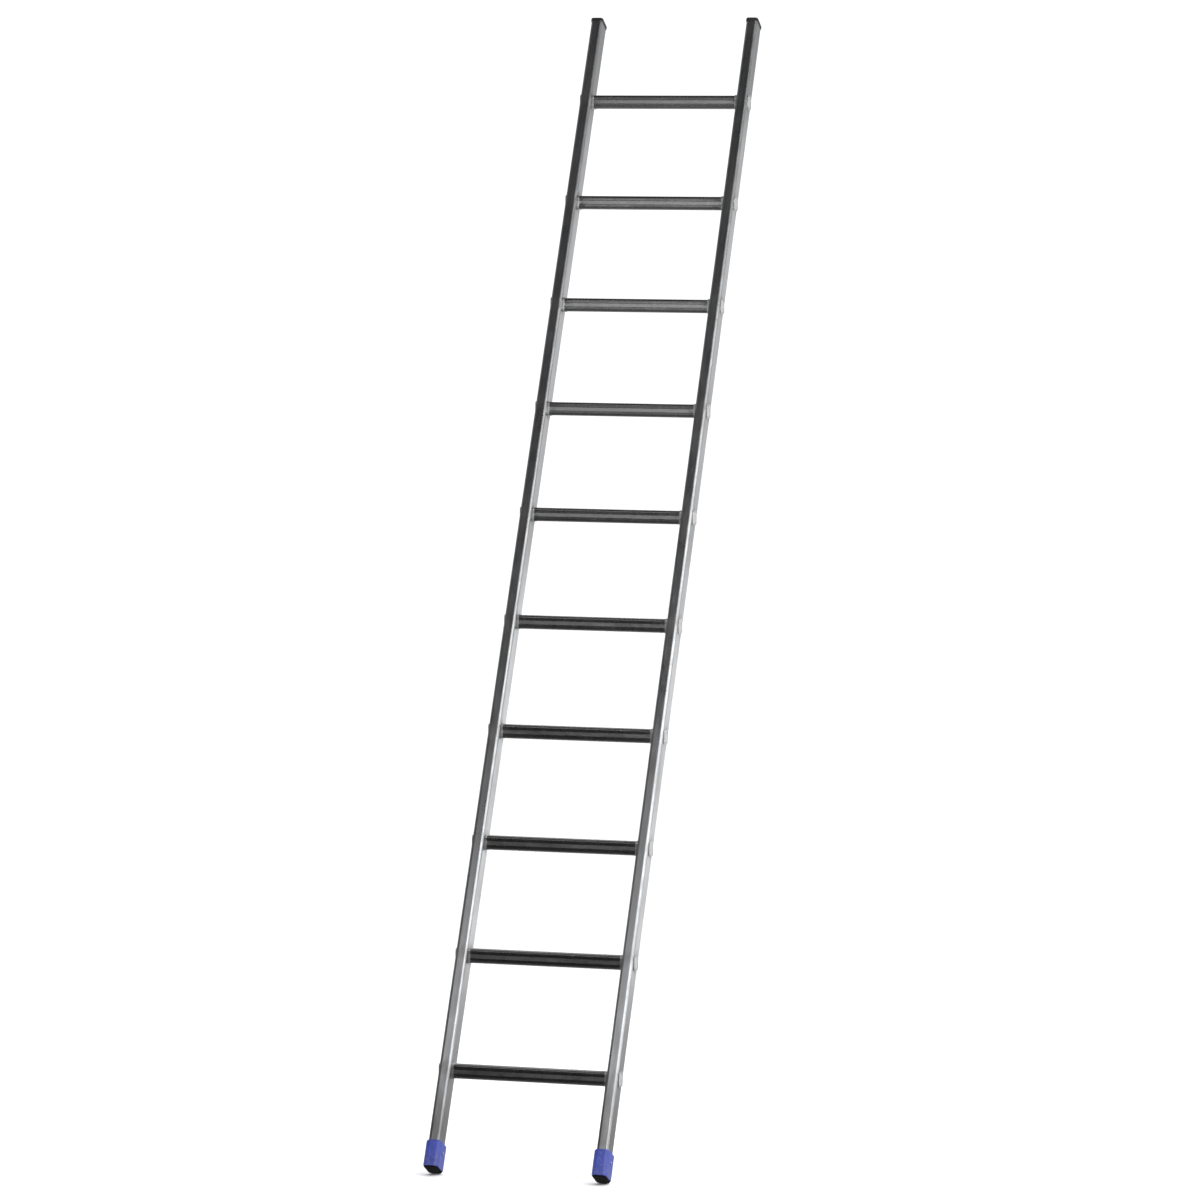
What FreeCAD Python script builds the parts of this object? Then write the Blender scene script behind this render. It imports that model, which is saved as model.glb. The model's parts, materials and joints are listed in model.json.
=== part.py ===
import FreeCAD, Part
import math
import os
import Sketcher

# A single-section leaning ladder of aluminium: two hollow stiles and ten hollow rungs with plugs in their ends,
# and the boots, rubber treads, caps and rivets on the stiles.
#
# The row's frame is the ladder as it is used: +Z up, +X to the climber's right, +Y towards the wall. The ladder
# leans back by lean_angle, which brings the rungs' treads level. The origin is on the floor, midway between the
# feet, on the line where the heels of the rubber treads touch it.
#
# Pieces are placed in the ladder's own axes: the same X, depth square to the climbing plane and positive towards
# the wall, and height along the stiles. Depth 0 is the stiles' middle plane, and height 0 the treads' underside.

SIZES = {
    # the whole ladder
    "lean_angle": 25,  # degrees from the vertical
    "stile_spacing": 396,  # between the stiles' middles
    "rung_count": 10,
    "rung_pitch": 280,  # along the stiles
    "first_rung": 239,  # height of the lowest rung's middle
    "top_margin": 225,  # from the highest rung's middle to the top of the caps
    "fit_gap": 0.05,  # between faces that meet
    # stile: a closed box section with rounded corners
    "stile_width": 28,
    "stile_depth": 50,
    "stile_corner": 7.5,
    "side_wall": 1.3,
    "flange_wall": 1.9,  # front and rear
    "bore_corner": 5.8,
    # rung: a rounded square tube
    "rung_size": 32,
    "rung_corner": 5,
    "rung_wall": 2,
    "rib_width": 8,  # along the middle of the front and rear faces
    "channel_edge": 10.5,  # from the rung's middle to the far edge of the channel beside the rib
    "channel_sink": 1.1,  # its sides slope at 45 degrees
    "flute_count": 8,  # in the tread
    "flute_pitch": 2.8,
    "flute_width": 1.3,
    "flute_sink": 0.6,
    "bead_width": 5,  # the swelling that bears on the stile's inner face
    "flare_width": 1.6,  # the collar that bears on its outer face
    "bead_height": 1.5,
    "flare_height": 1.4,
    "rim_round": 0.7,
    # plug in each open end of a rung
    "stopper_length": 9,
    "stopper_sink": 0.4,  # from the flare's outer face
    "stopper_round": 1,
    # boot and its rubber tread
    "boot_wall": 4.5,
    "boot_corner": 12,
    "boot_top": 65,
    "boot_floor": 8,
    "boot_slack": 0.1,
    "collar_bevel": 2.5,
    "boot_round": 3,
    "tread_proud": 3,
    "tread_set": 2.5,
    "tread_inset": 1.5,
    "tread_corner": 10.5,
    "heel_round": 4,
    "slot_count": 6,
    "slot_pitch": 8,
    "slot_width": 2.2,
    "slot_sink": 1.5,
    # end cap
    "cap_height": 8,
    "cap_proud": 1.2,
    "cap_corner": 7,
    "cap_round": 2,
    "cap_wall": 2,
    "plug_length": 22,
    "plug_slack": 0.1,
    "plug_bevel": 1.2,
    # blind rivet
    "rivet_rise": 40,
    "shank_radius": 2.4,
    "rivet_slack": 0.05,
    "head_radius": 4.8,
    "head_height": 1.8,
    "head_round": 0.9,
    "mandrel_radius": 1.3,
    "mandrel_sink": 1,
    "bulb_radius": 3.2,
    "bulb_length": 2.5,
}

# Expressions that several pieces share.
HALF_SPACING = "Sizes.stile_spacing / 2"
HALF_WIDTH = "Sizes.stile_width / 2"
BORE_SIDE = f"({HALF_WIDTH} - Sizes.side_wall)"
BORE_DEPTH = "(Sizes.stile_depth / 2 - Sizes.flange_wall)"
BOOT_SIDE = f"({HALF_WIDTH} + Sizes.boot_wall)"
BOOT_DEPTH = "(Sizes.stile_depth / 2 + Sizes.boot_wall)"
TREAD_SIDE = f"({BOOT_SIDE} - Sizes.tread_inset)"
TREAD_DEPTH = f"({BOOT_DEPTH} - Sizes.tread_inset)"
STILE_FOOT = "(Sizes.tread_proud + Sizes.boot_floor)"
LAST_RUNG = "(Sizes.first_rung + (Sizes.rung_count - 1) * Sizes.rung_pitch)"
STILE_TOP = f"({LAST_RUNG} + Sizes.top_margin - Sizes.cap_height)"
RUNG_HALF = "Sizes.rung_size / 2"
BEAD_START = f"({HALF_SPACING} - {HALF_WIDTH} - Sizes.fit_gap - Sizes.bead_width)"
FLARE_START = f"({HALF_SPACING} + {HALF_WIDTH} + Sizes.fit_gap)"
RUNG_HALF_LENGTH = f"({FLARE_START} + Sizes.flare_width)"

# The heel's rounding touches the floor under its own middle, so these two bring that line to the origin.
HEEL_REACH = f"({TREAD_DEPTH} - Sizes.heel_round)"
SHIFT_Y = f"(-{HEEL_REACH} * cos(Sizes.lean_angle) - Sizes.heel_round * sin(Sizes.lean_angle))"
SHIFT_Z = f"({HEEL_REACH} * sin(Sizes.lean_angle) + Sizes.heel_round * (1 - cos(Sizes.lean_angle)))"

Z_AXIS = FreeCAD.Vector(0, 0, 1)
LOOSE = 1e-4


def make_sheet(doc):
    """The driving dimensions, one cell each, named by its alias."""
    sheet = doc.addObject("Spreadsheet::Sheet", "Sizes")
    for row, (alias, value) in enumerate(SIZES.items(), start=1):
        sheet.set(f"A{row}", str(value))
        sheet.setAlias(f"A{row}", alias)
    doc.recompute()


def place(piece, across, height, tilted=True):
    """Puts a piece at a distance across and a height along the stiles. A tilted piece leans with them."""
    y = f"{SHIFT_Y} + {height} * sin(Sizes.lean_angle)"
    z = f"{SHIFT_Z} + {height} * cos(Sizes.lean_angle)"
    turn = "-Sizes.lean_angle" if tilted else "0"
    piece.setExpression(
        "Placement",
        f"placement(vector({across}; {y}; {z}); rotation(vector(1; 0; 0); {turn}))",
    )


# ---- sketches and features ----


def new_body(doc, label):
    body = doc.addObject("PartDesign::Body", label)
    body.Label = label
    return body


def origin_part(body, role):
    """An origin plane or axis of the body, such as XY_Plane or Z_Axis."""
    return next(f for f in body.Origin.OriginFeatures if f.Role == role)


def new_sketch(body, name, plane, offset=None):
    sketch = body.newObject("Sketcher::SketchObject", name)
    sketch.AttachmentSupport = [(origin_part(body, plane), "")]
    sketch.MapMode = "FlatFace"
    if offset is not None:
        sketch.setExpression("AttachmentOffset.Base.z", offset)
    return sketch


def value_of(sketch, expression):
    return float(sketch.evalExpression(expression))


def vector_of(sketch, point):
    return FreeCAD.Vector(value_of(sketch, point[0]), value_of(sketch, point[1]), 0)


def pin_point(sketch, geometry, end, point):
    """Ties one end of a line, or a circle's middle, to a pair of expressions."""
    for kind, expression in zip(("DistanceX", "DistanceY"), point):
        value = value_of(sketch, expression)
        index = sketch.addConstraint(Sketcher.Constraint(kind, -1, 1, geometry, end, value))
        sketch.setExpression(f"Constraints[{index}]", expression)


def tie_radius(sketch, geometry, radius):
    value = value_of(sketch, radius)
    index = sketch.addConstraint(Sketcher.Constraint("Radius", geometry, value))
    sketch.setExpression(f"Constraints[{index}]", radius)


def draw_outline(sketch, corners):
    """A closed outline of straight sides through corners, each a pair of expressions."""
    points = [vector_of(sketch, corner) for corner in corners]
    count = len(points)
    first = sketch.GeometryCount
    for n in range(count):
        sketch.addGeometry(Part.LineSegment(points[n], points[(n + 1) % count]))
    for n in range(count):
        sketch.addConstraint(Sketcher.Constraint("Coincident", first + n, 2, first + (n + 1) % count, 1))
    for n, corner in enumerate(corners):
        pin_point(sketch, first + n, 1, corner)


def draw_rounded_box(sketch, half_x, half_y, radius, middle=("0", "0"), turn="0"):
    """A rounded rectangle about middle, turned anticlockwise. Its four sides are tied, and its corners are arcs."""
    inner_x = f"({half_x} - {radius})"
    inner_y = f"({half_y} - {radius})"

    def turned(x, y):
        return (
            f"{middle[0]} + {x} * cos({turn}) - {y} * sin({turn})",
            f"{middle[1]} + {x} * sin({turn}) + {y} * cos({turn})",
        )

    sides = [
        (turned(f"(-{inner_x})", f"(-{half_y})"), turned(inner_x, f"(-{half_y})")),
        (turned(half_x, f"(-{inner_y})"), turned(half_x, inner_y)),
        (turned(inner_x, half_y), turned(f"(-{inner_x})", half_y)),
        (turned(f"(-{half_x})", inner_y), turned(f"(-{half_x})", f"(-{inner_y})")),
    ]
    arc_middles = [
        turned(inner_x, f"(-{inner_y})"),
        turned(inner_x, inner_y),
        turned(f"(-{inner_x})", inner_y),
        turned(f"(-{inner_x})", f"(-{inner_y})"),
    ]
    first = sketch.GeometryCount
    start = math.radians(value_of(sketch, turn)) - math.pi / 2
    for side in sides:
        sketch.addGeometry(Part.LineSegment(vector_of(sketch, side[0]), vector_of(sketch, side[1])))
    for n, arc_middle in enumerate(arc_middles):
        circle = Part.Circle(vector_of(sketch, arc_middle), Z_AXIS, value_of(sketch, radius))
        from_angle = start + n * math.pi / 2
        sketch.addGeometry(Part.ArcOfCircle(circle, from_angle, from_angle + math.pi / 2))
    for n, side in enumerate(sides):
        pin_point(sketch, first + n, 1, side[0])
        pin_point(sketch, first + n, 2, side[1])
    for n in range(4):
        arc = first + 4 + n
        sketch.addConstraint(Sketcher.Constraint("Coincident", first + n, 2, arc, 1))
        sketch.addConstraint(Sketcher.Constraint("Coincident", arc, 2, first + (n + 1) % 4, 1))
        tie_radius(sketch, arc, radius)


def draw_circle(sketch, middle, radius):
    index = sketch.addGeometry(Part.Circle(vector_of(sketch, middle), Z_AXIS, value_of(sketch, radius)))
    pin_point(sketch, index, 3, middle)
    tie_radius(sketch, index, radius)


def pad(body, name, sketch, length, reversed_way=False, both_ways=False):
    feature = body.newObject("PartDesign::Pad", name)
    feature.Profile = sketch
    feature.Reversed = reversed_way
    feature.SideType = "Symmetric" if both_ways else "One side"
    feature.setExpression("Length", length)
    return feature


def pocket(body, name, sketch, depth=None, reversed_way=False):
    """Cuts to a depth, or with no depth right through, both ways. It raises an error if nothing is cut."""
    body.Document.recompute()
    before = body.Shape.Volume
    feature = body.newObject("PartDesign::Pocket", name)
    feature.Profile = sketch
    feature.Reversed = reversed_way
    if depth is None:
        feature.Type = "ThroughAll"
        feature.SideType = "Symmetric"
    else:
        feature.setExpression("Length", depth)
    body.Document.recompute()
    if body.Shape.Volume > before - LOOSE:
        raise ValueError(f"{body.Label}: {name} cuts nothing")
    return feature


def repeat(body, name, feature, axis, count, spacing):
    pattern = body.newObject("PartDesign::LinearPattern", name)
    pattern.Originals = [feature]
    pattern.Direction = (origin_part(body, axis), [""])
    pattern.Mode = "Spacing"
    pattern.setExpression("Offset", spacing)
    pattern.setExpression("Occurrences", count)
    body.Tip = pattern
    return pattern


def mirror(body, name, features, plane):
    mirrored = body.newObject("PartDesign::Mirrored", name)
    mirrored.Originals = features
    mirrored.MirrorPlane = (origin_part(body, plane), [""])
    body.Tip = mirrored
    return mirrored


def dress(body, kind, name, size, keep):
    """A fillet or chamfer of one size on every edge of the body's tip that keep() accepts."""
    body.Document.recompute()
    base = body.Tip
    edges = [f"Edge{n}" for n, edge in enumerate(base.Shape.Edges, start=1) if keep(edge)]
    if not edges:
        raise ValueError(f"{body.Label}: {name} found no edge")
    feature = body.newObject(f"PartDesign::{kind}", name)
    feature.Base = (base, edges)
    feature.setExpression("Radius" if kind == "Fillet" else "Size", size)
    body.Document.recompute()
    return feature


def at_level(axis, level):
    """Accepts the edges that lie whole in the plane square to axis at a level."""

    def keep(edge):
        box = edge.BoundBox
        low, high = getattr(box, f"{axis}Min"), getattr(box, f"{axis}Max")
        return abs(low - level) < LOOSE and abs(high - level) < LOOSE

    return keep


# ---- the pieces ----


def make_stile(doc, label, side):
    """A closed box section, up from the boot's floor, with a hole through both sides for each rung and rivet."""
    body = new_body(doc, label)
    section = new_sketch(body, f"{label}_section", "XY_Plane")
    draw_rounded_box(section, HALF_WIDTH, "Sizes.stile_depth / 2", "Sizes.stile_corner")
    draw_rounded_box(section, BORE_SIDE, BORE_DEPTH, "Sizes.bore_corner")
    pad(body, f"{label}_extrusion", section, f"{STILE_TOP} - {STILE_FOOT}")

    hole = new_sketch(body, f"{label}_rung_hole", "YZ_Plane")
    hole_half = f"({RUNG_HALF} + Sizes.fit_gap)"
    hole_corner = "(Sizes.rung_corner + Sizes.fit_gap)"
    hole_middle = ("0", f"Sizes.first_rung - {STILE_FOOT}")
    draw_rounded_box(hole, hole_half, hole_half, hole_corner, hole_middle, "Sizes.lean_angle")
    first_hole = pocket(body, f"{label}_first_hole", hole)
    repeat(body, f"{label}_holes", first_hole, "Z_Axis", "Sizes.rung_count", "Sizes.rung_pitch")

    rivet_hole = new_sketch(body, f"{label}_rivet_hole", "YZ_Plane")
    rivet_radius = "Sizes.shank_radius + Sizes.rivet_slack"
    draw_circle(rivet_hole, ("0", f"Sizes.rivet_rise - {STILE_FOOT}"), rivet_radius)
    pocket(body, f"{label}_rivet_holes", rivet_hole)
    place(body, f"{side} * {HALF_SPACING}", STILE_FOOT)
    return body


def make_rung(doc, number):
    """A tube with a ribbed front and rear and a fluted tread. It goes through both sides of each stile, with a
    bead against the inner face and a flared collar against the outer one."""
    label = f"rung_{number:02d}"
    body = new_body(doc, label)
    outer = new_sketch(body, f"{label}_outer", "YZ_Plane")
    draw_rounded_box(outer, RUNG_HALF, RUNG_HALF, "Sizes.rung_corner")
    pad(body, f"{label}_bar", outer, f"2 * {RUNG_HALF_LENGTH}", both_ways=True)

    channels = new_sketch(body, f"{label}_channel_lines", "YZ_Plane")
    for side in ("", "-"):
        for level in ("", "-"):
            floor_y = f"{side}({RUNG_HALF} - Sizes.channel_sink)"
            mouth_y = f"{side}({RUNG_HALF} + Sizes.channel_sink)"
            corners = [
                (floor_y, f"{level}(Sizes.rib_width / 2 + Sizes.channel_sink)"),
                (mouth_y, f"{level}(Sizes.rib_width / 2 - Sizes.channel_sink)"),
                (mouth_y, f"{level}(Sizes.channel_edge + Sizes.channel_sink)"),
                (floor_y, f"{level}(Sizes.channel_edge - Sizes.channel_sink)"),
            ]
            draw_outline(channels, corners)
    pocket(body, f"{label}_channels", channels)

    flute = new_sketch(body, f"{label}_flute_lines", "YZ_Plane")
    first_flute = "(-(Sizes.flute_count - 1) * Sizes.flute_pitch / 2)"
    left = f"{first_flute} - Sizes.flute_width / 2"
    right = f"{first_flute} + Sizes.flute_width / 2"
    low = f"{RUNG_HALF} - Sizes.flute_sink"
    high = f"{RUNG_HALF} + Sizes.flute_sink"
    draw_outline(flute, [(left, high), (first_flute, low), (right, high)])
    cut = pocket(body, f"{label}_first_flute", flute)
    repeat(body, f"{label}_flutes", cut, "Y_Axis", "Sizes.flute_count", "Sizes.flute_pitch")

    rims = []
    for name, start in (("bead", BEAD_START), ("flare", FLARE_START)):
        ring = new_sketch(body, f"{label}_{name}_outline", "YZ_Plane", start)
        ring_half = f"({RUNG_HALF} + Sizes.{name}_height)"
        ring_corner = f"(Sizes.rung_corner + Sizes.{name}_height)"
        draw_rounded_box(ring, ring_half, ring_half, ring_corner)
        rims.append(pad(body, f"{label}_{name}", ring, f"Sizes.{name}_width"))
    mirror(body, f"{label}_far_end", rims, "YZ_Plane")

    bore = new_sketch(body, f"{label}_bore_outline", "YZ_Plane")
    bore_half = f"({RUNG_HALF} - Sizes.rung_wall)"
    draw_rounded_box(bore, bore_half, bore_half, "(Sizes.rung_corner - Sizes.rung_wall)")
    pocket(body, f"{label}_bore", bore)

    rim_levels = {}
    for name, start in (("bead", BEAD_START), ("flare", FLARE_START)):
        begin = value_of(ring, start)
        rim_levels[name] = (begin, begin + value_of(ring, f"Sizes.{name}_width"))
    reach = value_of(ring, RUNG_HALF)

    def on_rim(edge):
        box = edge.BoundBox
        outside = max(box.YMax, -box.YMin, box.ZMax, -box.ZMin) > reach + LOOSE
        level = abs(box.XMin)
        flat = box.XLength < LOOSE
        return flat and outside and any(abs(level - x) < LOOSE for pair in rim_levels.values() for x in pair)

    dress(body, "Fillet", f"{label}_rims", "Sizes.rim_round", on_rim)
    height = f"(Sizes.first_rung + {number - 1} * Sizes.rung_pitch)"
    place(body, "0", height, tilted=False)
    return body


def make_stoppers(doc, label, side):
    """The plugs pressed into the rungs' open ends on one side of the ladder."""
    body = new_body(doc, label)
    face = f"({HALF_WIDTH} + Sizes.fit_gap + Sizes.flare_width - Sizes.stopper_sink)"
    outline = new_sketch(body, f"{label}_outline", "YZ_Plane", f"{side} * {face}")
    half = f"({RUNG_HALF} - Sizes.rung_wall - Sizes.fit_gap)"
    corner = "(Sizes.rung_corner - Sizes.rung_wall - Sizes.fit_gap)"
    draw_rounded_box(outline, half, half, corner, ("0", "Sizes.first_rung"), "Sizes.lean_angle")
    plug = pad(body, f"{label}_plug", outline, "Sizes.stopper_length", reversed_way=side > 0)
    repeat(body, f"{label}_row", plug, "Z_Axis", "Sizes.rung_count", "Sizes.rung_pitch")
    level = side * value_of(outline, face)
    dress(body, "Fillet", f"{label}_faces", "Sizes.stopper_round", at_level("X", level))
    place(body, f"{side} * {HALF_SPACING}", "0")
    return body


def make_boot(doc, label, side):
    """A plastic sleeve over the foot of a stile, with a floor that the stile stands on and a seat for the tread."""
    body = new_body(doc, label)
    outer = new_sketch(body, f"{label}_outer", "XY_Plane", "Sizes.tread_proud")
    draw_rounded_box(outer, BOOT_SIDE, BOOT_DEPTH, "Sizes.boot_corner")
    pad(body, f"{label}_block", outer, "Sizes.boot_top - Sizes.tread_proud")
    dress(body, "Chamfer", f"{label}_collar", "Sizes.collar_bevel", at_level("Z", SIZES["boot_top"]))
    dress(body, "Fillet", f"{label}_lower_edge", "Sizes.boot_round", at_level("Z", SIZES["tread_proud"]))

    socket = new_sketch(body, f"{label}_socket_outline", "XY_Plane", "Sizes.boot_top")
    socket_x = f"({HALF_WIDTH} + Sizes.boot_slack)"
    socket_y = "(Sizes.stile_depth / 2 + Sizes.boot_slack)"
    draw_rounded_box(socket, socket_x, socket_y, "(Sizes.stile_corner + Sizes.boot_slack)")
    pocket(body, f"{label}_socket", socket, f"Sizes.boot_top - {STILE_FOOT}")

    seat = new_sketch(body, f"{label}_seat_outline", "XY_Plane", "Sizes.tread_proud")
    seat_x = f"({TREAD_SIDE} + Sizes.boot_slack)"
    seat_y = f"({TREAD_DEPTH} + Sizes.boot_slack)"
    draw_rounded_box(seat, seat_x, seat_y, "Sizes.tread_corner")
    pocket(body, f"{label}_seat", seat, "Sizes.tread_set", reversed_way=True)

    holes = new_sketch(body, f"{label}_rivet_hole", "YZ_Plane")
    draw_circle(holes, ("0", "Sizes.rivet_rise"), "Sizes.shank_radius + Sizes.rivet_slack")
    pocket(body, f"{label}_rivet_holes", holes)
    place(body, f"{side} * {HALF_SPACING}", "0")
    return body


def make_tread(doc, label, side):
    """A rubber pad set in the underside of a boot, cut square to the stile, with slots across it."""
    body = new_body(doc, label)
    outline = new_sketch(body, f"{label}_outline", "XY_Plane")
    draw_rounded_box(outline, TREAD_SIDE, TREAD_DEPTH, "Sizes.tread_corner")
    pad(body, f"{label}_pad", outline, "Sizes.tread_proud + Sizes.tread_set")
    dress(body, "Fillet", f"{label}_heel", "Sizes.heel_round", at_level("Z", 0))

    slot = new_sketch(body, f"{label}_slot_outline", "YZ_Plane")
    first_slot = "(-(Sizes.slot_count - 1) * Sizes.slot_pitch / 2)"
    low_y = f"{first_slot} - Sizes.slot_width / 2"
    high_y = f"{first_slot} + Sizes.slot_width / 2"
    corners = [
        (low_y, "-Sizes.slot_sink"),
        (high_y, "-Sizes.slot_sink"),
        (high_y, "Sizes.slot_sink"),
        (low_y, "Sizes.slot_sink"),
    ]
    draw_outline(slot, corners)
    cut = pocket(body, f"{label}_first_slot", slot)
    repeat(body, f"{label}_slots", cut, "Y_Axis", "Sizes.slot_count", "Sizes.slot_pitch")
    place(body, f"{side} * {HALF_SPACING}", "0")
    return body


def make_cap(doc, label, side):
    """A plastic cap: a rounded flange on the end of the stile and a hollow plug inside it."""
    body = new_body(doc, label)
    flange = new_sketch(body, f"{label}_flange_outline", "XY_Plane")
    flange_x = f"({HALF_WIDTH} + Sizes.cap_proud)"
    flange_y = "(Sizes.stile_depth / 2 + Sizes.cap_proud)"
    draw_rounded_box(flange, flange_x, flange_y, "Sizes.cap_corner")
    pad(body, f"{label}_flange", flange, "Sizes.cap_height")
    dress(body, "Fillet", f"{label}_crown", "Sizes.cap_round", at_level("Z", SIZES["cap_height"]))

    plug = new_sketch(body, f"{label}_plug_outline", "XY_Plane")
    plug_x = f"({BORE_SIDE} - Sizes.plug_slack)"
    plug_y = f"({BORE_DEPTH} - Sizes.plug_slack)"
    draw_rounded_box(plug, plug_x, plug_y, "Sizes.bore_corner")
    pad(body, f"{label}_plug", plug, "Sizes.plug_length", reversed_way=True)
    dress(body, "Chamfer", f"{label}_lead_in", "Sizes.plug_bevel", at_level("Z", -SIZES["plug_length"]))

    hollow = new_sketch(body, f"{label}_hollow_outline", "XY_Plane", "-Sizes.plug_length")
    hollow_x = f"({plug_x} - Sizes.cap_wall)"
    hollow_y = f"({plug_y} - Sizes.cap_wall)"
    draw_rounded_box(hollow, hollow_x, hollow_y, "Sizes.bore_corner")
    depth = "Sizes.plug_length + Sizes.cap_height - 2 * Sizes.cap_wall"
    pocket(body, f"{label}_hollow", hollow, depth, reversed_way=True)
    place(body, f"{side} * {HALF_SPACING}", STILE_TOP)
    return body


def make_rivets(doc, label, side):
    """Two blind rivets, through the inner and the outer side of a boot and of its stile."""
    body = new_body(doc, label)
    profile = new_sketch(body, f"{label}_profile", "XZ_Plane")
    wall_inner = f"({BORE_SIDE} - Sizes.fit_gap)"
    tail = f"({wall_inner} - Sizes.bulb_length)"
    seat = f"({BOOT_SIDE} + Sizes.fit_gap)"
    top = f"({seat} + Sizes.head_height)"
    dimple = f"({top} - Sizes.mandrel_sink)"
    corners = [
        (tail, "0"),
        (tail, "Sizes.shank_radius"),
        (f"{tail} + Sizes.bulb_radius - Sizes.shank_radius", "Sizes.bulb_radius"),
        (wall_inner, "Sizes.bulb_radius"),
        (wall_inner, "Sizes.shank_radius"),
        (seat, "Sizes.shank_radius"),
        (seat, "Sizes.head_radius"),
        (f"{top} - Sizes.head_round", "Sizes.head_radius"),
        (top, "Sizes.head_radius - 2 * Sizes.head_round"),
        (top, "Sizes.mandrel_radius"),
        (dimple, "Sizes.mandrel_radius"),
        (dimple, "0"),
    ]
    draw_outline(profile, corners)
    spin = body.newObject("PartDesign::Revolution", f"{label}_turned")
    spin.Profile = profile
    spin.ReferenceAxis = (profile, ["H_Axis"])
    spin.Angle = 360
    mirror(body, f"{label}_inner_rivet", [spin], "YZ_Plane")
    place(body, f"{side} * {HALF_SPACING}", "Sizes.rivet_rise")
    return body


def check(doc, pieces):
    """Stops if any object failed to compute, or if a piece's shape is empty or not valid."""
    for thing in doc.Objects:
        if "Invalid" in thing.State or "Error" in thing.State:
            raise ValueError(f"{thing.Label} failed: {thing.State}")
    for piece in pieces:
        if piece.Shape.isNull() or not piece.Shape.isValid() or not piece.Shape.Solids:
            raise ValueError(f"{piece.Label} has no valid solid")


def main():
    doc = FreeCAD.newDocument("ladder")
    make_sheet(doc)
    pieces = []
    for name, side in (("left", -1), ("right", 1)):
        pieces.append(make_stile(doc, f"stile_{name}", side))
        pieces.append(make_boot(doc, f"foot_{name}", side))
        pieces.append(make_tread(doc, f"foot_tread_{name}", side))
        pieces.append(make_cap(doc, f"top_cap_{name}", side))
        pieces.append(make_rivets(doc, f"foot_rivets_{name}", side))
        pieces.append(make_stoppers(doc, f"rung_plugs_{name}", side))
    for number in range(1, SIZES["rung_count"] + 1):
        pieces.append(make_rung(doc, number))
    doc.recompute()
    check(doc, pieces)
    os.makedirs("parts", exist_ok=True)
    for piece in pieces:
        piece.Shape.exportStep(f"parts/{piece.Label}.step")


main()
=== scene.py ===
import json
import math

import bpy
from mathutils import Matrix, Vector


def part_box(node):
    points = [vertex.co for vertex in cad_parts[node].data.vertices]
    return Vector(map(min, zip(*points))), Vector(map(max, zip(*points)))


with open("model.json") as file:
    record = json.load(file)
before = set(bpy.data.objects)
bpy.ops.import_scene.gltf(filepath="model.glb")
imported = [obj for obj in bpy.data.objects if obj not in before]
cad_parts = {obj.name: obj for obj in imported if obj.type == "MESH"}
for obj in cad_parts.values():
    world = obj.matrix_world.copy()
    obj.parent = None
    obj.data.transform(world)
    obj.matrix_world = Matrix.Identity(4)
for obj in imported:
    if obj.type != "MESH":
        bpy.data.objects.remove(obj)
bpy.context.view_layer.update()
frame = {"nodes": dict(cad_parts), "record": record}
nodes = frame["nodes"]
mounts = {mount["name"]: mount for mount in frame["record"]["mounts"]}


def middle(node):
    """The middle of a node's box."""
    low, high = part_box(node)
    return (low + high) / 2


# The ladder's own directions. The soles face along the stiles, so their mount gives the lean.
sole_axis = Vector(mounts["sole_left"]["axis"])
LEAN = math.atan2(-sole_axis.y, -sole_axis.z)
RUNGS = sorted(node for node in nodes if node.startswith("rung_") and node[-1].isdigit())
to_ladder = Matrix.Rotation(LEAN, 3, "X")
first_rung = to_ladder @ middle(RUNGS[0])
PITCH = ((to_ladder @ middle(RUNGS[-1])).z - first_rung.z) / (len(RUNGS) - 1)
SPACING = middle("stile_right").x - middle("stile_left").x
stile_low, stile_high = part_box("stile_right")
STILE_WIDTH = stile_high.x - stile_low.x
STILE_DEPTH = 0.050
# The floor lies this far under the treads' heels, so that they don't share a plane.
FLOOR_GAP = 0.0002


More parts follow.
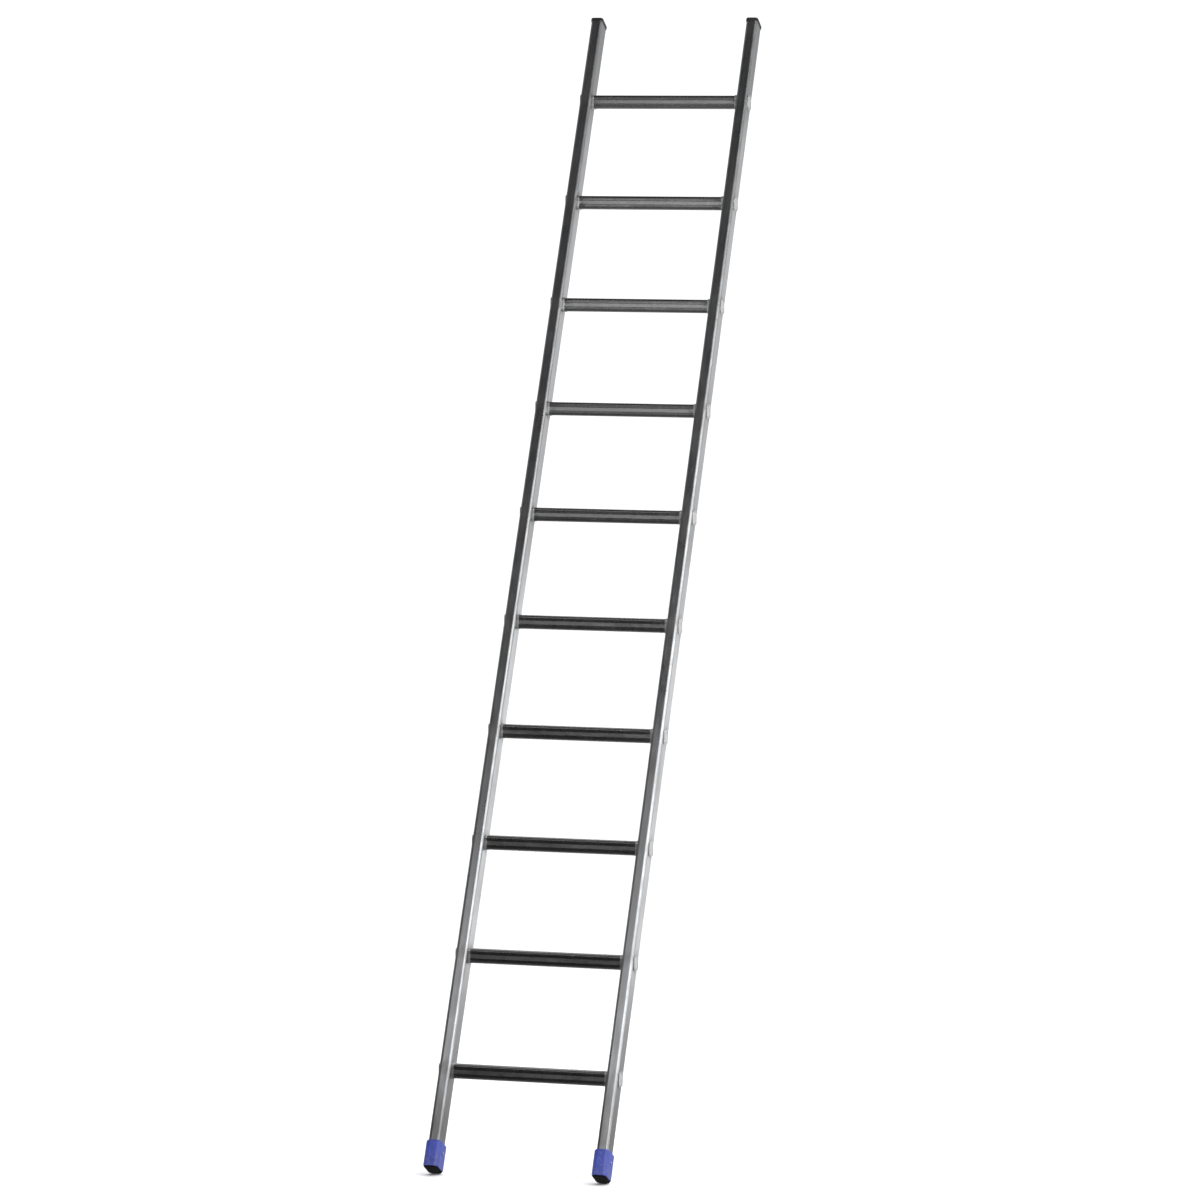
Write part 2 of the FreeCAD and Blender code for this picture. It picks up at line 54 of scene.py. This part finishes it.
class Finish:
    """A node material on the Principled shader, with short ways to build its nodes.

    Its pattern is laid out in the ladder's own axes: X across, Y through the
    stiles from the climber's side to the back, Z up along them."""

    def __init__(self, name, **uniform):
        self.material = bpy.data.materials.new(name)
        self.material.use_nodes = True
        self.tree = self.material.node_tree
        self.shader = self.tree.nodes["Principled BSDF"]
        for socket, value in uniform.items():
            self.shader.inputs[socket.replace("_", " ")].default_value = value
        place = self.node("ShaderNodeTexCoord")
        turn = self.node("ShaderNodeMapping")
        turn.inputs["Rotation"].default_value = (LEAN, 0.0, 0.0)
        turn.inputs["Location"].default_value = (0.0, -first_rung.y, -first_rung.z)
        self.join(place.outputs["Object"], turn.inputs["Vector"])
        self.point = turn.outputs["Vector"]
        split = self.node("ShaderNodeSeparateXYZ")
        self.join(self.point, split.inputs[0])
        self.across, self.through, self.along = split.outputs
        self.height_sum = None

    def node(self, kind, **settings):
        made = self.tree.nodes.new(kind)
        for name, value in settings.items():
            setattr(made, name, value)
        return made

    def join(self, value, socket):
        if isinstance(value, bpy.types.NodeSocket):
            self.tree.links.new(value, socket)
        else:
            socket.default_value = value

    def math(self, operation, *values, clamp=False):
        made = self.node("ShaderNodeMath", operation=operation, use_clamp=clamp)
        for value, socket in zip(values, made.inputs):
            self.join(value, socket)
        return made.outputs[0]

    def span(self, value, low, high, to_low=0.0, to_high=1.0, shape="SMOOTHSTEP"):
        """value from low to high becomes to_low to to_high, and stays in that range."""
        made = self.node("ShaderNodeMapRange", interpolation_type=shape, clamp=True)
        for number, socket in zip((value, low, high, to_low, to_high), made.inputs):
            self.join(number, socket)
        return made.outputs[0]

    def noise(self, across, through, along, detail=2.0, rough=0.5, seed=0.0):
        """Noise with that many cells a metre along each of the ladder's axes."""
        scaled = self.node("ShaderNodeVectorMath", operation="MULTIPLY")
        self.join(self.point, scaled.inputs[0])
        scaled.inputs[1].default_value = (across, through, along)
        made = self.node("ShaderNodeTexNoise", noise_dimensions="4D")
        self.join(scaled.outputs[0], made.inputs["Vector"])
        made.inputs["W"].default_value = seed
        made.inputs["Scale"].default_value = 1.0
        made.inputs["Detail"].default_value = detail
        made.inputs["Roughness"].default_value = rough
        return made.outputs[0]

    def scratches(self, across, through, along, width, seed):
        """Thin lines where noise of that stretch passes through its middle value."""
        wave = self.noise(across, through, along, detail=1.0, seed=seed)
        away = self.math("ABSOLUTE", self.math("SUBTRACT", wave, 0.5))
        line = self.span(away, 0.0, width, 1.0, 0.0)
        patch = self.span(self.noise(14, 14, 5, seed=seed + 7), 0.52, 0.66)
        return self.math("MULTIPLY", line, patch)

    def blend(self, share, first, second):
        """A colour that goes from first to second as share goes from 0 to 1."""
        made = self.node("ShaderNodeMix", data_type="RGBA")
        self.join(share, made.inputs["Factor"])
        colour_inputs = [socket for socket in made.inputs if socket.type == "RGBA"]
        for value, socket in zip((first, second), colour_inputs):
            self.join(value if isinstance(value, bpy.types.NodeSocket) else (*value, 1.0), socket)
        return next(socket for socket in made.outputs if socket.type == "RGBA")

    def relief(self, height, depth):
        """Adds a relief: height from 0 to 1 stands for depth metres."""
        scaled = self.math("MULTIPLY", height, depth)
        self.height_sum = scaled if self.height_sum is None else self.math("ADD", self.height_sum, scaled)

    def finish(self, colour, roughness):
        self.join(colour, self.shader.inputs["Base Color"])
        self.join(roughness, self.shader.inputs["Roughness"])
        if self.height_sum is not None:
            bump = self.node("ShaderNodeBump")
            bump.inputs["Distance"].default_value = 1.0
            bump.inputs["Strength"].default_value = 1.0
            self.join(self.height_sum, bump.inputs["Height"])
            self.join(bump.outputs[0], self.shader.inputs["Normal"])
        return self.material

    def rung_phase(self):
        """The distance up the stile from the nearest rung's middle, in metres."""
        turns = self.math("DIVIDE", self.along, PITCH)
        nearest = self.math("ROUND", turns)
        return self.math("MULTIPLY", self.math("SUBTRACT", turns, nearest), PITCH)

    def rung_level(self):
        """The height above the nearest rung's middle, straight up, in metres."""
        upward = self.math("MULTIPLY", self.rung_phase(), math.cos(LEAN))
        return self.math("SUBTRACT", upward, self.math("MULTIPLY", self.through, math.sin(LEAN)))


def stile_finish():
    """Mill-finish extruded aluminium: die lines along the stile, dull patches, scratches, worn
    corners, dirt around the rungs, and painted shade above the boots."""
    f = Finish("stile_aluminium", Metallic=1.0)
    fine = f.noise(1500, 1500, 5, detail=3, seed=1)
    lines = f.noise(260, 260, 1.2, detail=2, seed=2)
    patches = f.noise(16, 16, 5, detail=4, rough=0.6, seed=3)
    smudges = f.noise(45, 45, 18, detail=3, rough=0.65, seed=4)
    long_scratch = f.scratches(90, 90, 30, 0.010, 11)
    cross_scratch = f.scratches(40, 25, 75, 0.006, 12)
    scratch = f.math("ADD", long_scratch, cross_scratch, clamp=True)

    # How far a point is in from the nearest side face and from the nearer of front and back.
    off_middle = f.math("ABSOLUTE", f.math("SUBTRACT", f.math("ABSOLUTE", f.across), SPACING / 2))
    off_side = f.math("SUBTRACT", STILE_WIDTH / 2, off_middle)
    off_front = f.math("SUBTRACT", STILE_DEPTH / 2, f.math("ABSOLUTE", f.through))
    corner = f.math("ADD", off_side, off_front)
    edge = f.span(corner, 0.0044, 0.0066, 1.0, 0.0)
    worn = f.math("MULTIPLY", edge, f.span(f.noise(30, 30, 22, detail=3, seed=5), 0.38, 0.62))

    # A dull ring where each rung comes through, from handling and cleaning around it.
    up_squared = f.math("POWER", f.rung_phase(), 2.0)
    through_squared = f.math("POWER", f.through, 2.0)
    ring = f.math("SQRT", f.math("ADD", up_squared, through_squared))
    grime = f.math("MULTIPLY", f.span(ring, 0.018, 0.034, 1.0, 0.0), f.span(smudges, 0.35, 0.7))

    # Painted shade, darkest above the boots and gone by the first rung.
    low = f.span(f.along, -0.15, -0.01, 1.0, 0.0)
    painted_low_shade = f.math("MULTIPLY", low, f.span(smudges, 0.3, 0.7, 0.42, 0.66))

    colour = f.blend(f.span(lines, 0.3, 0.7), (0.54, 0.55, 0.565), (0.62, 0.63, 0.64))
    colour = f.blend(f.math("MULTIPLY", f.span(patches, 0.45, 0.75), 0.35), colour, (0.42, 0.425, 0.43))
    colour = f.blend(f.math("MULTIPLY", grime, 0.55), colour, (0.26, 0.25, 0.235))
    colour = f.blend(f.math("MULTIPLY", scratch, 0.5), colour, (0.80, 0.81, 0.82))
    colour = f.blend(f.math("MULTIPLY", worn, 0.7), colour, (0.78, 0.79, 0.80))
    # Painted shade low on the stile, above the boots.
    colour = f.blend(painted_low_shade, colour, (0.26, 0.255, 0.25))

    rough = f.math("ADD", f.span(patches, 0.3, 0.8, 0.27, 0.40), f.span(smudges, 0.3, 0.75, -0.03, 0.06))
    rough = f.math("ADD", rough, f.math("MULTIPLY", grime, 0.16))
    rough = f.math("ADD", rough, f.math("MULTIPLY", edge, 0.12))
    f.relief(fine, 0.000012)
    f.relief(lines, 0.00005)
    f.relief(scratch, -0.00003)
    return f.finish(colour, rough)


def rung_finish():
    """Aluminium drawn across the ladder, coloured darker than the stiles as painted shade, with painted
    highlights on its ribs and ends, its tread polished where feet and hands go.
    """
    f = Finish("rung_aluminium", Metallic=1.0)
    fine = f.noise(6, 1500, 1500, detail=3, seed=21)
    lines = f.noise(2, 240, 240, detail=2, seed=22)
    patches = f.noise(12, 40, 40, detail=4, rough=0.6, seed=23)
    dirt = f.noise(70, 130, 130, detail=4, rough=0.7, seed=24)
    long_scratch = f.scratches(30, 110, 60, 0.010, 31)
    cross_scratch = f.scratches(90, 40, 40, 0.008, 32)
    scratch = f.math("ADD", long_scratch, cross_scratch, clamp=True)

    level = f.rung_level()
    tread = f.span(level, 0.0140, 0.0158)
    trodden = f.math("MULTIPLY", tread, f.span(f.math("ABSOLUTE", f.across), 0.06, 0.17, 1.0, 0.25))
    polish = f.math("MULTIPLY", trodden, f.span(patches, 0.3, 0.62))
    # A painted highlight along the ribs on the rung's front and back.
    rib_highlight_band = f.span(f.math("ABSOLUTE", level), 0.0038, 0.0050, 1.0, 0.0)
    ends = f.span(f.math("ABSOLUTE", f.across), SPACING / 2 - 0.044, SPACING / 2 - 0.020)
    settled = f.math("MULTIPLY", ends, f.span(dirt, 0.4, 0.65))

    # The rung's aluminium is coloured darker than the stiles': painted shade.
    colour = f.blend(f.span(lines, 0.3, 0.7), (0.26, 0.26, 0.265), (0.33, 0.33, 0.335))
    colour = f.blend(f.math("MULTIPLY", f.span(patches, 0.45, 0.75), 0.4), colour, (0.22, 0.22, 0.225))
    # Painted highlight on the rib band.
    painted_rib_highlight = f.math("MULTIPLY", rib_highlight_band, f.span(patches, 0.3, 0.6, 0.6, 0.85))
    colour = f.blend(painted_rib_highlight, colour, (0.80, 0.80, 0.80))
    colour = f.blend(f.math("MULTIPLY", polish, 0.6), colour, (0.60, 0.60, 0.60))
    colour = f.blend(f.math("MULTIPLY", settled, 0.6), colour, (0.13, 0.125, 0.115))
    colour = f.blend(f.math("MULTIPLY", scratch, 0.55), colour, (0.66, 0.66, 0.66))

    # The tube from the bead against each stile's inner face to the flare at its end is painted bright:
    # partly cleaner metal, partly a painted highlight.
    swell = f.span(f.math("ABSOLUTE", f.across), SPACING / 2 - 0.0196, SPACING / 2 - 0.0188)
    clean_and_painted_highlight = f.math("MULTIPLY", swell, f.span(dirt, 0.35, 0.7, 1.0, 0.55))
    # Painted highlight, with cleaner metal, at the rung's ends.
    colour = f.blend(clean_and_painted_highlight, colour, (0.86, 0.86, 0.86))

    rough = f.math("ADD", f.span(patches, 0.3, 0.8, 0.22, 0.32), f.span(dirt, 0.3, 0.75, -0.02, 0.08))
    rough = f.math("SUBTRACT", rough, f.math("MULTIPLY", polish, 0.06))
    rough = f.math("ADD", rough, f.math("MULTIPLY", rib_highlight_band, 0.10))
    rough = f.math("ADD", rough, f.math("MULTIPLY", settled, 0.2))
    rough = f.math("ADD", rough, f.math("MULTIPLY", swell, 0.12))
    f.relief(fine, 0.000012)
    f.relief(lines, 0.00004)
    f.relief(scratch, -0.00003)
    return f.finish(colour, rough)


def boot_finish():
    """Blue moulded plastic with a fine grain, scuffed pale low down and dusty at the sole."""
    f = Finish("boot_plastic", Specular_IOR_Level=0.7)
    grain = f.noise(900, 900, 900, detail=2, seed=41)
    mottle = f.noise(60, 60, 60, detail=3, seed=42)
    dust = f.noise(160, 160, 160, detail=4, rough=0.7, seed=43)
    scuff = f.scratches(55, 120, 30, 0.014, 44)
    low = f.span(f.along, -first_rung.z, -first_rung.z + 0.045, 1.0, 0.0)

    colour = f.blend(f.span(mottle, 0.3, 0.7), (0.034, 0.053, 0.31), (0.048, 0.070, 0.38))
    colour = f.blend(f.math("MULTIPLY", scuff, 0.55), colour, (0.30, 0.34, 0.70))
    dusty = f.math("MULTIPLY", f.math("MULTIPLY", low, f.span(dust, 0.42, 0.72)), 0.55)
    colour = f.blend(dusty, colour, (0.23, 0.22, 0.24))
    rough = f.math("ADD", f.span(mottle, 0.3, 0.7, 0.28, 0.38), f.math("MULTIPLY", dusty, 0.4))
    f.relief(grain, 0.00006)
    f.relief(scuff, -0.00008)
    return f.finish(colour, rough)


def rubber_finish():
    """Black rubber, greyed by floor dust."""
    f = Finish("tread_rubber", Specular_IOR_Level=0.2)
    grain = f.noise(700, 700, 700, detail=3, seed=51)
    dust = f.noise(140, 140, 140, detail=4, rough=0.7, seed=52)
    dusty = f.math("MULTIPLY", f.span(dust, 0.45, 0.8), 0.4)
    colour = f.blend(dusty, (0.004, 0.004, 0.0045), (0.030, 0.029, 0.028))
    f.relief(grain, 0.00010)
    return f.finish(colour, f.span(dust, 0.3, 0.7, 0.62, 0.85))


def cap_finish():
    """Black moulded plastic with a fine spark grain and a few rubbed marks."""
    f = Finish("cap_plastic", Specular_IOR_Level=0.45)
    grain = f.noise(1100, 1100, 1100, detail=2, seed=61)
    mottle = f.noise(90, 90, 90, detail=3, seed=62)
    rubbed = f.scratches(70, 50, 90, 0.014, 63)
    colour = f.blend(f.span(mottle, 0.3, 0.7), (0.020, 0.020, 0.023), (0.036, 0.036, 0.040))
    colour = f.blend(f.math("MULTIPLY", rubbed, 0.6), colour, (0.14, 0.14, 0.145))
    f.relief(grain, 0.00005)
    return f.finish(colour, f.span(mottle, 0.3, 0.7, 0.40, 0.55))


def plug_finish():
    """Light grey moulded plastic in the rungs' ends, with dust towards the rim."""
    f = Finish("plug_plastic", Specular_IOR_Level=0.5)
    grain = f.noise(900, 900, 900, detail=2, seed=81)
    dust = f.noise(220, 220, 220, detail=4, rough=0.7, seed=82)
    colour = f.blend(f.span(dust, 0.35, 0.7), (0.42, 0.42, 0.43), (0.24, 0.235, 0.225))
    f.relief(grain, 0.00005)
    return f.finish(colour, f.span(dust, 0.3, 0.7, 0.40, 0.65))


def rivet_finish():
    """Bright aluminium rivet heads, with dirt caught in their scratches."""
    f = Finish("rivet_aluminium", Metallic=1.0)
    dirt = f.noise(500, 500, 500, detail=3, seed=71)
    colour = f.blend(f.span(dirt, 0.45, 0.7), (0.72, 0.73, 0.74), (0.40, 0.40, 0.39))
    f.relief(dirt, 0.00004)
    return f.finish(colour, f.span(dirt, 0.3, 0.7, 0.24, 0.42))


finishes = {
    "stile": stile_finish(),
    "rung": rung_finish(),
    "foot": boot_finish(),
    "foot_tread": rubber_finish(),
    "top_cap": cap_finish(),
    "foot_rivets": rivet_finish(),
    "rung_plugs": plug_finish(),
}
for name, shown in nodes.items():
    family = name.rsplit("_", 1)[0]
    for slot in shown.material_slots:
        slot.material = finishes[family]


# Studio ---------------------------------------------------------------------------------

def soft_light(name, place, target, width, height, radiance):
    """A rectangular soft light, not seen by the camera."""
    data = bpy.data.lights.new(name, "AREA")
    data.shape = "RECTANGLE"
    data.size, data.size_y = width, height
    data.energy = radiance * math.pi * width * height
    made = bpy.data.objects.new(name, data)
    made.location = place
    made.rotation_mode = "QUATERNION"
    made.rotation_quaternion = (Vector(target) - Vector(place)).to_track_quat("-Z", "Y")
    made.visible_camera = False
    bpy.context.scene.collection.objects.link(made)


def studio_world():
    """White to the eye. Matt surfaces are lit mostly from above and behind the ladder, and
    polished metal mirrors a room that is dark on the climber's side."""
    world = bpy.data.worlds.new("studio")
    world.use_nodes = True
    tree = world.node_tree
    tree.nodes.clear()
    output = tree.nodes.new("ShaderNodeOutputWorld")
    place = tree.nodes.new("ShaderNodeTexCoord")
    split = tree.nodes.new("ShaderNodeSeparateXYZ")
    tree.links.new(place.outputs["Generated"], split.inputs[0])
    rays = tree.nodes.new("ShaderNodeLightPath")

    def ramp(socket, low, high, to_low, to_high):
        made = tree.nodes.new("ShaderNodeMapRange")
        made.interpolation_type = "SMOOTHSTEP"
        tree.links.new(socket, made.inputs[0])
        for number, wanted in zip((low, high, to_low, to_high), made.inputs[1:5]):
            wanted.default_value = number
        return made.outputs[0]

    def background(strength):
        made = tree.nodes.new("ShaderNodeBackground")
        made.inputs["Color"].default_value = (1.0, 1.0, 1.0, 1.0)
        if isinstance(strength, bpy.types.NodeSocket):
            tree.links.new(strength, made.inputs["Strength"])
        else:
            made.inputs["Strength"].default_value = strength
        return made.outputs[0]

    def choose(kind, otherwise, for_kind):
        made = tree.nodes.new("ShaderNodeMixShader")
        for socket, wanted in zip((rays.outputs[kind], otherwise, for_kind), made.inputs):
            tree.links.new(socket, wanted)
        return made.outputs[0]

    behind = ramp(split.outputs[1], -0.45, 0.95, 0.032, 0.38)
    below = ramp(split.outputs[2], -0.20, -0.95, 0.0, 0.28)
    mirrored = tree.nodes.new("ShaderNodeMath")
    mirrored.operation = "ADD"
    tree.links.new(behind, mirrored.inputs[0])
    tree.links.new(below, mirrored.inputs[1])
    matt = ramp(split.outputs[1], -0.7, 0.7, 0.32, 2.0)

    lit = choose("Is Glossy Ray", background(matt), background(mirrored.outputs[0]))
    tree.links.new(choose("Is Camera Ray", lit, background(1.12)), output.inputs[0])
    return world


def studio_floor():
    """A pale matt floor, wide enough for every view. Metal doesn't mirror it, so the room
    in front of the ladder stays dark to it."""
    made = bpy.data.meshes.new("floor")
    sides, reach = 64, 60.0
    turns = [2 * math.pi * n / sides for n in range(sides)]
    rim = [(reach * math.cos(turn), reach * math.sin(turn), 0.0) for turn in turns]
    made.from_pydata(rim, [], [tuple(range(sides))])
    floor = bpy.data.objects.new("floor", made)
    floor.location.z = -FLOOR_GAP
    floor.visible_glossy = False
    bpy.context.scene.collection.objects.link(floor)
    paint = bpy.data.materials.new("floor_paint")
    paint.use_nodes = True
    shader = paint.node_tree.nodes["Principled BSDF"]
    shader.inputs["Base Color"].default_value = (0.94, 0.94, 0.94, 1.0)
    shader.inputs["Roughness"].default_value = 1.0
    shader.inputs["Specular IOR Level"].default_value = 0.0
    made.materials.append(paint)


scene = bpy.context.scene
scene.world = studio_world()
scene.view_settings.view_transform = "Standard"
studio_floor()
soft_light("front_left", (-0.65, -2.2, 2.25), (0.2, 0.3, 0.7), 1.6, 1.0, 0.8)
soft_light("right_front", (1.6, -1.1, 2.1), (0.2, 0.2, 0.7), 2.6, 2.0, 2.0)
soft_light("right_high", (1.9, -0.2, 3.5), (0.2, 0.7, 1.9), 1.5, 1.5, 0.65)
soft_light("right", (2.6, 0.7, 1.7), (0.2, 0.5, 1.2), 1.6, 2.8, 1.45)
soft_light("behind_low", (0.7, 3.0, 0.7), (0.2, 0.2, 0.6), 2.0, 1.2, 0.66)
soft_light("behind_high", (0.9, 3.4, 2.0), (0.2, 0.6, 1.6), 2.0, 1.2, 0.34)

# The camera stands 12 m off, in front of the ladder and to its right, and looks down by 2 degrees.
# Its place is counted from the middle of the lowest rung.
camera_data = bpy.data.cameras.new("camera")
camera_data.lens = 155.56
camera_data.sensor_width = 36.0
camera_data.clip_start, camera_data.clip_end = 0.1, 300.0
camera = bpy.data.objects.new("camera", camera_data)
right_way = Vector((0.965766, 0.258693, 0.019340))
forward = Vector((-0.257997, 0.965598, -0.032519))
turned = Matrix((right_way, right_way.cross(forward), -forward)).transposed()
camera.location = middle(RUNGS[0]) + Vector((3.17618, -11.35363, 1.47029))
camera.rotation_mode = "QUATERNION"
camera.rotation_quaternion = turned.to_quaternion()
scene.collection.objects.link(camera)
scene.camera = camera
